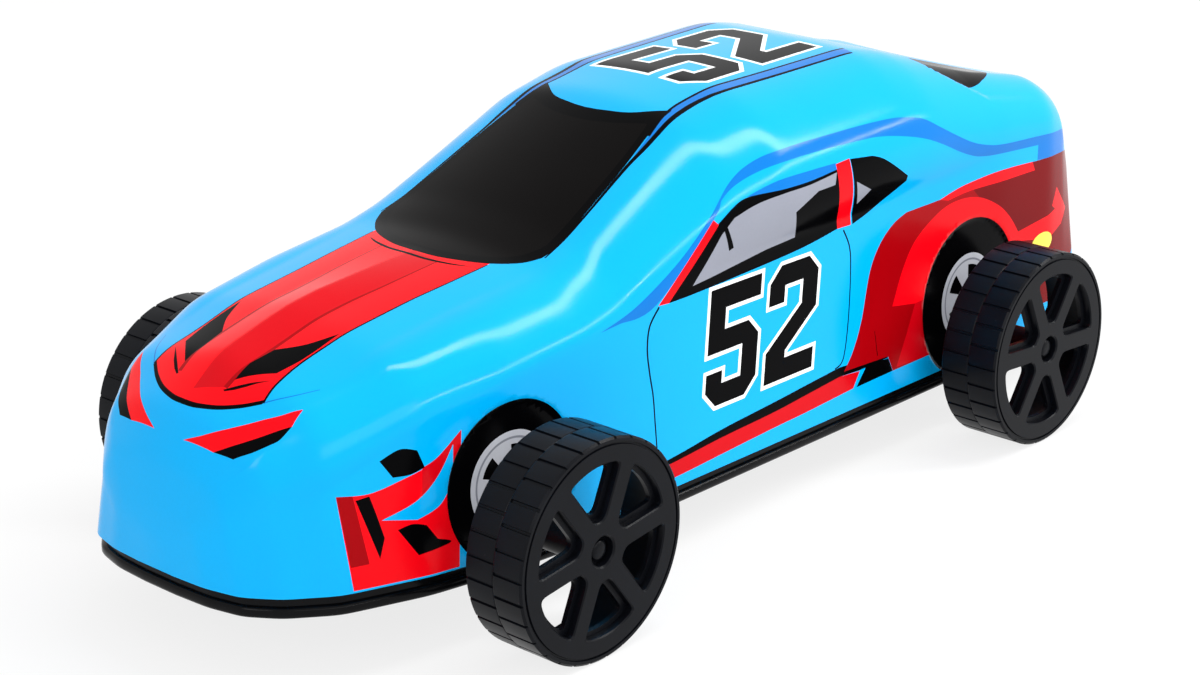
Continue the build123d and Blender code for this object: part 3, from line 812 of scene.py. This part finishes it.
# %% Make the tray
tray_mesh = bpy.data.meshes.new("tray")
tray_mesh.from_pydata((np.concatenate([tray_points, under]) * MM).tolist(), [], tray_faces)
work = bmesh.new()
work.from_mesh(tray_mesh)
bmesh.ops.recalc_face_normals(work, faces=work.faces)
work.to_mesh(tray_mesh)
work.free()
tray_mesh.polygons.foreach_set("use_smooth", np.ones(len(tray_mesh.polygons), bool))
tray_mesh.set_sharp_from_angle(angle=math.radians(TRAY_SHARP))
tray = bpy.data.objects.new("formed_tray", tray_mesh)
bpy.context.scene.collection.objects.link(tray)
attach(tray, "chassis")
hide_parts("base_tray")
print("tray faces:", len(tray_mesh.polygons))

# %% [markdown]
# A wheel is one moulding: a tread with two staggered rows of blocks, a web with six spokes, stepped
# openings and a deep drum behind. Booleans could cut it, but they leave slivers along the round edges.
# Here the turned parts come from a profile, and the flat web from a triangulation with the openings left
# out.

# %% Wheel's tread and openings
WHEEL_FACE, HUB_FLOOR, WEB_BACK = 19.0, 16.2, 15.0  # depths from the wheel's back
LUGS, SPOKES = 30, 6
LUG_TURN, SPOKE_TURN = 360 / LUGS, 360 / SPOKES
GROOVE_AT = {1: -2.0, 2: 3.0}  # degrees at which a groove lies in the outer and the inner row of blocks
GROOVE_DEPTH, GROOVE_HALF, GROOVE_WALL = 0.55, 0.9, 0.3
LUG_ANGLES = [-2.9, -2.6, -1.4, -1.1, 0.5, 2.1, 2.4, 3.6, 3.9, 6.0, 7.7]  # closer at the grooves
OPENING_STEP, OPENING_BLUR, OPENING_POINTS = 0.2, 1.15, 64
tread_turns = np.radians([LUG_TURN * k + a for k in range(LUGS) for a in LUG_ANGLES])
hub_turns = np.radians(np.arange(0, 360, 6))


def turned(profile, turns):
    """Rings of points for a profile of radius and depth pairs."""
    return [[(r * math.cos(t), y, r * math.sin(t)) for t in turns] for r, y in profile]


def groove_depth(turn, row):
    """Depth of the tread's grooves at an angle, in one row of blocks or, for row 0, in neither."""
    if not row:
        return 0
    away = abs((math.degrees(turn) - GROOVE_AT[row] + LUG_TURN / 2) % LUG_TURN - LUG_TURN / 2)
    return GROOVE_DEPTH * float(np.clip((GROOVE_HALF - away) / GROOVE_WALL, 0, 1))


def rounded_opening(shrink):
    """The opening between two spokes, with soft corners, about the x axis."""
    half_spoke, inner, outer_r = 2.6 + shrink, 8.4 + shrink, 23.4 - shrink
    ends = [math.radians(SPOKE_TURN / 2) - math.asin(half_spoke / r) for r in (inner, outer_r)]
    arc_in = [(inner * math.cos(t), inner * math.sin(t)) for t in np.linspace(ends[0], -ends[0], 7)]
    arc_out = [(outer_r * math.cos(t), outer_r * math.sin(t)) for t in np.linspace(-ends[1], ends[1], 15)]
    line = resampled([*arc_in, *arc_out, arc_in[0]], OPENING_STEP)[:-1]
    thrice = np.concatenate([line, line, line])
    soft = blurred(thrice, OPENING_BLUR / OPENING_STEP)[len(line):2 * len(line)]
    return soft[np.linspace(0, len(soft), OPENING_POINTS, endpoint=False).astype(int)]


print("points round the tread:", len(tread_turns), "and round an opening:", len(rounded_opening(0.0)))

# %% [markdown]
# Two kinds of face make up the moulding. Between two rings lie plain quads, as a lathe would leave them.
# The flat of the web has holes, and n-gons with holes don't exist in a mesh, so it is triangulated
# between its outlines, and the triangles in the holes are dropped.

# %% Faces from rings and from a flat
def web_face(y, outer_ring, hub_ring, openings):
    """The flat of the web at one depth, without the hub and the openings."""
    loops = [[(p[0], p[2]) for p in ring] for ring in (outer_ring, hub_ring)]
    loops += [list(map(tuple, opening)) for opening in openings]
    flat_points, links = [], []
    for loop in loops:
        first = len(flat_points)
        flat_points += loop
        links += [(first + k, first + (k + 1) % len(loop)) for k in range(len(loop))]
    made = delaunay_2d_cdt([Vector(p) for p in flat_points], links, [], 0, 1e-6)
    at_points = np.array([tuple(p) for p in made[0]])
    cells = np.array([list(t) for t in made[2]])
    centres = at_points[cells].mean(1)
    keep = np.ones(len(cells), bool)
    for hole in loops[1:]:
        keep[covered(centres, np.array(hole))] = False
    inside_rim = np.zeros(len(cells), bool)
    inside_rim[covered(centres, np.array(loops[0]))] = True
    return [[(at_points[k][0], y, at_points[k][1]) for k in cell] for cell in cells[keep & inside_rim]]


def strips(rings):
    """Quads between each ring of points and the next."""
    made = []
    for a, b in zip(rings[:-1], rings[1:]):
        around = [(k, (k + 1) % len(a)) for k in range(len(a))]
        made += [[a[k], a[m], b[m], b[k]] for k, m in around]
    return made


def loose(polygons):
    """All corners in one list, and each polygon as a run of their numbers."""
    starts = np.cumsum([0] + [len(p) for p in polygons])
    runs = [list(range(a, b)) for a, b in zip(starts[:-1], starts[1:])]
    return np.array([p for polygon in polygons for p in polygon]), runs


example = strips(turned([(1.0, 0.0), (1.0, 1.0)], hub_turns))
print("quads between two rings of the hub:", len(example))

# %% [markdown]
# The rim, the hub and the openings are put together from front to back. They could be separate pieces,
# but the real wheel is one moulding, so all faces go into one list and are joined where their corners
# meet.

# %% Wheel moulding
# radius, depth from the wheel's back and row of blocks
TREAD = [(30.0, 18.5, 1), (30.0, 18.0, 1), (30.0, 9.9, 1), (29.97, 9.65, 1), (29.86, 9.5, 0),
         (29.97, 9.35, 2), (30.0, 9.1, 2), (30.0, 1.0, 2), (30.0, 0.5, 2)]
RIM_FRONT = [(27.9, WHEEL_FACE), (28.05, 18.5), (28.45, 18.5), (28.6, WHEEL_FACE), (29.4, WHEEL_FACE)]
RIM_BACK = [(29.4, 0.0), (28.1, 0.0), (27.6, 0.5), (27.6, WEB_BACK)]
rim = turned(RIM_FRONT, tread_turns)
for radius, y, row in TREAD:
    radii = [radius - groove_depth(t, row) for t in tread_turns]
    rim.append([(r * math.cos(t), y, r * math.sin(t)) for r, t in zip(radii, tread_turns)])
rim += turned(RIM_BACK, tread_turns)
hub_front = turned([(4.5, WHEEL_FACE), (4.0, 18.6), (4.0, HUB_FLOOR)], hub_turns)
hub_back = turned([(4.6, WEB_BACK), (4.6, 0.3), (4.3, 0.0), (2.0, 0.0), (2.0, 15.4)], hub_turns)
polygons = strips(rim)
polygons += [*strips(hub_front), hub_front[-1]]
polygons += [*strips(hub_back), hub_back[-1]]
openings = {}
for depth, shrink in ((0, -0.3), (1, 0.0), (2, 1.3)):
    shape = rounded_opening(shrink)
    openings[depth] = []
    for k in range(SPOKES):
        turn = math.radians((k + 0.5) * SPOKE_TURN)
        c, s = math.cos(turn), math.sin(turn)
        along, across = shape.T
        openings[depth].append(np.stack([along * c - across * s, along * s + across * c], 1))
for k in range(SPOKES):
    walls = [[(p[0], y, p[1]) for p in openings[depth][k]]
             for depth, y in ((0, WHEEL_FACE), (1, 18.65), (1, 16.6), (2, 16.4), (2, WEB_BACK))]
    polygons += strips(walls)
polygons += web_face(WHEEL_FACE, rim[0], hub_front[0], openings[0])
polygons += web_face(WEB_BACK, rim[-1], hub_back[0], openings[2])
wheel_corners, wheel_faces = loose(polygons)
print("wheel polygons:", len(polygons))

# %% [markdown]
# The four wheels share that moulding. They could be linked copies, but each has its own place and turn,
# so each gets its own mesh: set at its axle, turned by the spokes' angle on the real car, and mirrored
# for the right side, so that the open drum always faces the car. A small round button sits in each hub.

# %% Set the wheels
AXLES = {"front": (102.9, 52.5), "rear": (-100.1, 4.0)}  # place along the car and turn of the spokes
WHEEL_BACK, AXLE_Z = 63.0, 30.0
WHEEL_SHARP, CAP_SHARP = 32, 40  # degrees from which an edge stays sharp


def set_on_axle(name, mesh_points, mesh_faces, axle, side, out_y, sharp):
    """A piece of a wheel at its place, joined where corners meet, riding on its wheelset."""
    x, angle = AXLES[axle]
    c, s = math.cos(math.radians(angle)), math.sin(math.radians(angle))
    px, py, pz = np.asarray(mesh_points).T
    placed = np.stack([x + px * c - pz * s, side * (out_y + py), AXLE_Z + px * s + pz * c], 1)
    mesh = bpy.data.meshes.new(name)
    mesh.from_pydata((placed * MM).tolist(), [], mesh_faces)
    work = bmesh.new()
    work.from_mesh(mesh)
    bmesh.ops.remove_doubles(work, verts=work.verts, dist=2e-6)
    bmesh.ops.recalc_face_normals(work, faces=work.faces)
    work.to_mesh(mesh)
    work.free()
    mesh.polygons.foreach_set("use_smooth", np.ones(len(mesh.polygons), bool))
    mesh.set_sharp_from_angle(angle=math.radians(sharp))
    made = bpy.data.objects.new(name, mesh)
    bpy.context.scene.collection.objects.link(made)
    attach(made, f"{axle}_wheelset")
    return made


CAP_PROFILE = [(2.8, 0.0), (2.8, 1.0), (2.6, 1.4), (2.1, 1.65), (1.2, 1.8)]
cap_rings = turned(CAP_PROFILE, hub_turns)
cap_corners, cap_faces = loose([*strips(cap_rings), cap_rings[0], cap_rings[-1]])
wheels, caps = [], []
for axle in AXLES:
    for side, word in ((1, "left"), (-1, "right")):
        wheels.append(set_on_axle(f"moulded_wheel_{axle}_{word}", wheel_corners, wheel_faces,
                                  axle, side, WHEEL_BACK, WHEEL_SHARP))
        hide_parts(f"wheel_{axle}_{word}")
        caps.append(set_on_axle(f"hub_button_{axle}_{word}", cap_corners, cap_faces,
                                axle, side, WHEEL_BACK + HUB_FLOOR, CAP_SHARP))
        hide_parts(f"hub_cap_{axle}_{word}")
print("wheels:", [w.name for w in wheels])

# %% [markdown]
# The wheels are moulded polypropylene with a satin, faintly sparked surface and pale scuffs. The tray is
# the same sheet as the shell in plain gloss black, and the axles are drawn steel rod, whose fine lines
# run along the rod. A plain dark colour would look like card, so flow marks, scuffs and sparks come from
# three noises. Their widths are judged, and the sparks are as coarse as they need to be to show.

# %% Moulded, formed and drawn finishes
def moulded_black(name, dark, pale, roughness):
    made = new_material(name)
    tree = made.node_tree
    place = node(tree, "ShaderNodeTexCoord").outputs["Object"]
    flow_marks = node(tree, "ShaderNodeTexNoise", {"Vector": place, "Scale": per_mm(9), "Detail": 4.0})
    spark = node(tree, "ShaderNodeTexNoise", {"Vector": place, "Scale": per_mm(0.5), "Detail": 2.0})
    scuff = node(tree, "ShaderNodeTexNoise", {
        "Vector": place, "Scale": per_mm(2.6), "Detail": 8.0, "Roughness": 0.75})
    worn = node(tree, "ShaderNodeMapRange", {
        "Value": scuff.outputs["Fac"], "From Min": 0.66, "From Max": 0.78, "To Max": 0.5})
    tone = node(tree, "ShaderNodeMixRGB", {
        "Fac": flow_marks.outputs["Fac"], "Color1": linear(dark), "Color2": linear(pale)})
    marked = node(tree, "ShaderNodeMixRGB", {
        "Fac": worn.outputs["Result"], "Color1": tone.outputs["Color"], "Color2": linear("#4A4C52")})
    gloss = node(tree, "ShaderNodeMapRange", {
        "Value": flow_marks.outputs["Fac"], "To Min": roughness - 0.06, "To Max": roughness + 0.1})
    grain = node(tree, "ShaderNodeBump", {
        "Height": spark.outputs["Fac"], "Strength": 0.12, "Distance": 0.05 * MM})
    body = node(tree, "ShaderNodeBsdfPrincipled", {
        "Base Color": marked.outputs["Color"], "Roughness": gloss.outputs["Result"], "IOR": 1.49,
        "Specular IOR Level": 0.10, "Normal": grain.outputs["Normal"]})
    node(tree, "ShaderNodeOutputMaterial", {"Surface": body.outputs["BSDF"]})
    return made


wheel_plastic = moulded_black("polypropylene_moulded_black", "#07080B", "#0D0F15", 0.30)
tray_sheet = moulded_black("polystyrene_formed_black", "#050506", "#0C0C0E", 0.16)
steel = new_material("steel_drawn_rod")
tree = steel.node_tree
place = node(tree, "ShaderNodeTexCoord").outputs["Object"]
stretched = node(tree, "ShaderNodeMapping", {"Vector": place, "Scale": (1.0, 0.02, 1.0)})
lines = node(tree, "ShaderNodeTexNoise", {
    "Vector": stretched.outputs["Vector"], "Scale": per_mm(0.3), "Detail": 3.0})
shade = node(tree, "ShaderNodeMixRGB", {
    "Fac": lines.outputs["Fac"], "Color1": linear("#9A9CA0"), "Color2": linear("#C6C8CC")})
rough = node(tree, "ShaderNodeMapRange", {"Value": lines.outputs["Fac"], "To Min": 0.22, "To Max": 0.42})
rod = node(tree, "ShaderNodeBsdfPrincipled", {
    "Base Color": shade.outputs["Color"], "Roughness": rough.outputs["Result"], "Metallic": 1.0})
node(tree, "ShaderNodeOutputMaterial", {"Surface": rod.outputs["BSDF"]})
for piece in wheels + caps:
    piece.data.materials.append(wheel_plastic)
tray.data.materials.append(tray_sheet)
node_finishes = {
    "body_shell": INKS["sky"], "base_tray": tray_sheet, "front_axle_tube": tray_sheet,
    "rear_axle_tube": tray_sheet, "front_axle": steel, "rear_axle": steel}
for name, cad_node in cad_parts.items():
    cad_node.data.materials.clear()
    cad_node.data.materials.append(node_finishes.get(name, wheel_plastic))
print("finishes:", wheel_plastic.name, tray_sheet.name, steel.name)

# %% [markdown]
# The car stands on a pale floor under soft light. More light could make the background white, but it
# would wash out the inks. So the floor and the room are white only to the camera and in reflections, and
# the floor keeps a soft shadow, because part of what is seen of it is its own diffuse shade. Two strips
# of light draw the bright lines along the shoulder and the belt crease.

# %% Floor and light
FLOOR_HALF = 4.0  # metres
FLOOR_WHITE = 0.8  # share of plain white in what is seen of the floor
ROOM_LIGHT = 0.74  # what the room gives to matt surfaces, where 1 is white


def background_rays(tree):
    """1 for the rays that look at the background: from the camera, off a gloss or through glass."""
    path = node(tree, "ShaderNodeLightPath")
    direct = node(tree, "ShaderNodeMath", {
        0: path.outputs["Is Camera Ray"], 1: path.outputs["Is Glossy Ray"]}, operation="MAXIMUM")
    looked = node(tree, "ShaderNodeMath", {
        0: direct.outputs[0], 1: path.outputs["Is Transmission Ray"]}, operation="MAXIMUM")
    return looked.outputs[0]


floor_mesh = bpy.data.meshes.new("floor")
floor_corners = [(FLOOR_HALF * x, FLOOR_HALF * y, 0) for x, y in ((-1, -1), (1, -1), (1, 1), (-1, 1))]
floor_mesh.from_pydata(floor_corners, [], [[0, 1, 2, 3]])
floor = bpy.data.objects.new("floor", floor_mesh)
bpy.context.scene.collection.objects.link(floor)
paper = new_material("paper_matt_white")
tree = paper.node_tree
share = node(tree, "ShaderNodeMapRange", {"Value": background_rays(tree), "To Max": FLOOR_WHITE})
matt = node(tree, "ShaderNodeBsdfDiffuse", {"Color": linear("#F2F2F2")})
glow = node(tree, "ShaderNodeEmission", {"Color": (1, 1, 1, 1), "Strength": 1.0})
mixed = node(tree, "ShaderNodeMixShader", {
    0: share.outputs[0], 1: matt.outputs["BSDF"], 2: glow.outputs["Emission"]})
node(tree, "ShaderNodeOutputMaterial", {"Surface": mixed.outputs["Shader"]})
floor_mesh.materials.append(paper)

world = bpy.data.worlds.new("studio")
bpy.context.scene.world = world
world.use_nodes = True
world.node_tree.nodes.clear()
tree = world.node_tree
level = node(tree, "ShaderNodeMapRange", {
    "Value": background_rays(tree), "To Min": ROOM_LIGHT, "To Max": 1.0})
sky = node(tree, "ShaderNodeBackground", {"Color": (1, 1, 1, 1), "Strength": level.outputs["Result"]})
node(tree, "ShaderNodeOutputWorld", {"Surface": sky.outputs["Background"]})


def softbox(name, place, aim, size, power):
    """A flat lamp that looks at a point; sizes in metres, power in watts."""
    lamp = bpy.data.lights.new(name, "AREA")
    lamp.shape, lamp.size, lamp.size_y, lamp.energy = "RECTANGLE", size[0], size[1], power
    made = bpy.data.objects.new(name, lamp)
    made.location = place
    made.rotation_euler = (Vector(aim) - Vector(place)).to_track_quat("-Z", "Y").to_euler()
    bpy.context.scene.collection.objects.link(made)


softbox("shoulder_strip", (-0.62, 0.50, 1.25), (0, 0, 0.08), (0.2, 1.7), 18)
softbox("front_softbox", (1.5, 0.5, 0.9), (0.05, 0, 0.06), (0.6, 0.6), 5)
softbox("side_softbox", (0.3, 1.7, 0.6), (0, 0, 0.06), (1.2, 0.5), 4)
softbox("crease_strip", (-0.75, 1.26, 0.49), (0.02, 0, 0.07), (1.5, 0.02), 4)

# %% [markdown]
# The camera stands where the photographer stood, worked out from the wheels and the car's symmetry. It
# could be aimed at a point, but that leaves out its small roll, so its place and two directions are set
# as a matrix.

# %% Camera
camera = bpy.data.cameras.new("camera")
camera.lens, camera.sensor_width, camera.sensor_fit = 78.12, 36.0, "HORIZONTAL"
camera.clip_start = 0.01
viewer = bpy.data.objects.new("camera", camera)
STANDPOINT = (0.54584, 0.47769, 0.29840)
ahead = Vector((-0.70126, -0.62897, -0.33560)).normalized()
right = Vector((-0.66919, 0.74307, 0.00569)).normalized()
up = right.cross(ahead)
aimed = Matrix((right, up, -ahead)).transposed().to_4x4()
viewer.matrix_world = Matrix.Translation(STANDPOINT) @ aimed
bpy.context.scene.collection.objects.link(viewer)
bpy.context.scene.camera = viewer
bpy.context.scene.view_settings.view_transform = "Standard"
print("camera at", [round(c, 3) for c in viewer.location])
